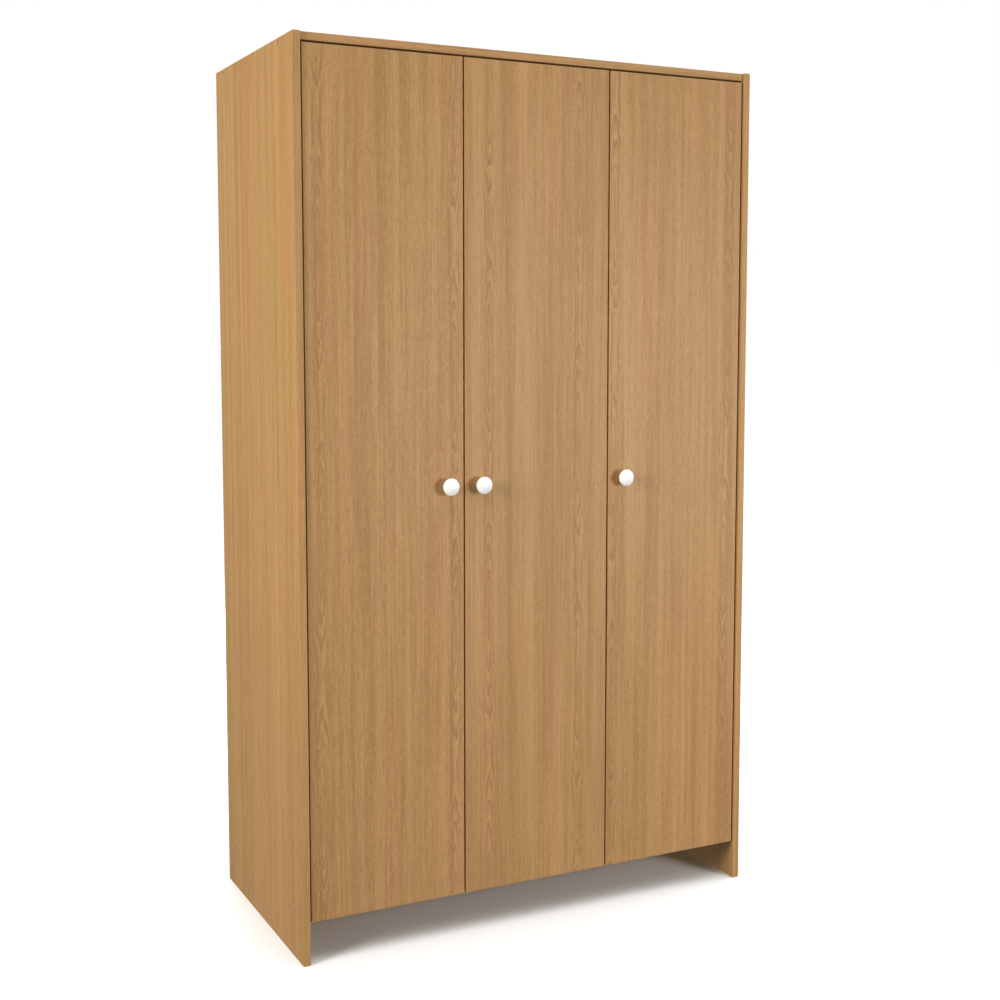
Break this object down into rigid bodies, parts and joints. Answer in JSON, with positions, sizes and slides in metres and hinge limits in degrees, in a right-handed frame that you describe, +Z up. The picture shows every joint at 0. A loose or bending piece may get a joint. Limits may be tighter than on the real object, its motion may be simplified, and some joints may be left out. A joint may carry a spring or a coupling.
{
  "type": "wardrobe",
  "caption": "Tall oak-effect wardrobe with three hinged doors, round white knobs, a hanging compartment with hat shelf and a narrow shelved compartment.",
  "frame": {"origin": "on the floor, under the middle of the object's bounding box", "axes": "+Z up, doors face -Y, +X to the right as seen from the front"},
  "size_m": [1.04, 0.541, 1.8],
  "materials": {
    "oak_board": "satin oak-effect foil on particleboard",
    "oak_door": "satin oak-effect foil on particleboard",
    "hardboard": "thin hardboard, foil inside and bare brown outside",
    "strip_plastic": "extruded brown plastic profile",
    "knob_white": "glossy white",
    "hinge_steel": "nickel-plated pressed steel",
    "pin_steel": "drawn steel",
    "screw_zinc": "zinc-plated",
    "bracket_zinc": "zinc-plated",
    "rail_chrome": "chrome-plated tube",
    "socket_plastic": "moulded white plastic",
    "beech": "fluted beech",
    "nail_steel": "bright wire nail",
    "buffer_plastic": "soft clear pad"
  },
  "bodies": {
    "carcass": {"side_panel_left": "oak_board", "side_panel_right": "oak_board", "top_panel": "oak_board", "floor_panel": "oak_board", "floor_support_rail": "oak_board", "rear_rail": "oak_board", "divider_panel": "oak_board", "hat_shelf": "oak_board", "shelf_1": "oak_board", "shelf_2": "oak_board", "shelf_3": "oak_board", "shelf_4": "oak_board", "back_panel_left": "hardboard", "back_panel_centre": "hardboard", "back_panel_right": "hardboard", "back_joint_strip": "strip_plastic", "hinge_arms_left": "hinge_steel", "hinge_arms_middle": "hinge_steel", "hinge_arms_right": "hinge_steel", "hinge_plates_left": "hinge_steel", "hinge_plates_middle": "hinge_steel", "hinge_plates_right": "hinge_steel", "hinge_arm_pins": "pin_steel", "carcass_screws": "screw_zinc", "hinge_plate_screws": "screw_zinc", "hinge_arm_screws": "screw_zinc", "rail_socket_screws": "screw_zinc", "wall_bracket_screws": "screw_zinc", "wall_bracket_left": "bracket_zinc", "wall_bracket_right": "bracket_zinc", "shelf_pins": "bracket_zinc", "hanging_rail": "rail_chrome", "rail_socket_left": "socket_plastic", "rail_socket_right": "socket_plastic", "dowels": "beech", "back_nails": "nail_steel", "door_buffers": "buffer_plastic"},
    "hinge_links_left_body": {"hinge_links_left": "hinge_steel"},
    "door_left_body": {"door_left": "oak_door", "knob_left": "knob_white", "knob_screw_left": "screw_zinc", "hinge_cups_left": "hinge_steel", "hinge_cup_pins_left": "pin_steel", "hinge_cup_screws_left": "screw_zinc"},
    "hinge_links_middle_body": {"hinge_links_middle": "hinge_steel"},
    "door_middle_body": {"door_middle": "oak_door", "knob_middle": "knob_white", "knob_screw_middle": "screw_zinc", "hinge_cups_middle": "hinge_steel", "hinge_cup_pins_middle": "pin_steel", "hinge_cup_screws_middle": "screw_zinc"},
    "hinge_links_right_body": {"hinge_links_right": "hinge_steel"},
    "door_right_body": {"door_right": "oak_door", "knob_right": "knob_white", "knob_screw_right": "screw_zinc", "hinge_cups_right": "hinge_steel", "hinge_cup_pins_right": "pin_steel", "hinge_cup_screws_right": "screw_zinc"}
  },
  "joints": [
    {"name": "hinge_link_turn_left", "type": "hinge", "parent": "carcass", "child": "hinge_links_left_body", "pos_m": [-0.4789, -0.2227, 0.9325], "axis": [0, 0, -1], "range_deg": [-35, 0]},
    {"name": "door_swing_left", "type": "hinge", "parent": "hinge_links_left_body", "child": "door_left_body", "pos_m": [-0.4905, -0.2365, 0.9325], "axis": [0, 0, -1], "range_deg": [0, 130]},
    {"name": "hinge_link_turn_middle", "type": "hinge", "parent": "carcass", "child": "hinge_links_middle_body", "pos_m": [0.1434, -0.2227, 0.9325], "axis": [0, 0, 1], "range_deg": [-35, 0]},
    {"name": "door_swing_middle", "type": "hinge", "parent": "hinge_links_middle_body", "child": "door_middle_body", "pos_m": [0.155, -0.2365, 0.9325], "axis": [0, 0, 1], "range_deg": [0, 130]},
    {"name": "hinge_link_turn_right", "type": "hinge", "parent": "carcass", "child": "hinge_links_right_body", "pos_m": [0.4789, -0.2227, 0.9325], "axis": [0, 0, 1], "range_deg": [-35, 0]},
    {"name": "door_swing_right", "type": "hinge", "parent": "hinge_links_right_body", "child": "door_right_body", "pos_m": [0.4905, -0.2365, 0.9325], "axis": [0, 0, 1], "range_deg": [0, 130]}
  ],
  "couplings": [
    {"joint": "hinge_link_turn_left", "follows": "door_swing_left", "ratio": -0.269},
    {"joint": "hinge_link_turn_middle", "follows": "door_swing_middle", "ratio": -0.269},
    {"joint": "hinge_link_turn_right", "follows": "door_swing_right", "ratio": -0.269}
  ]
}
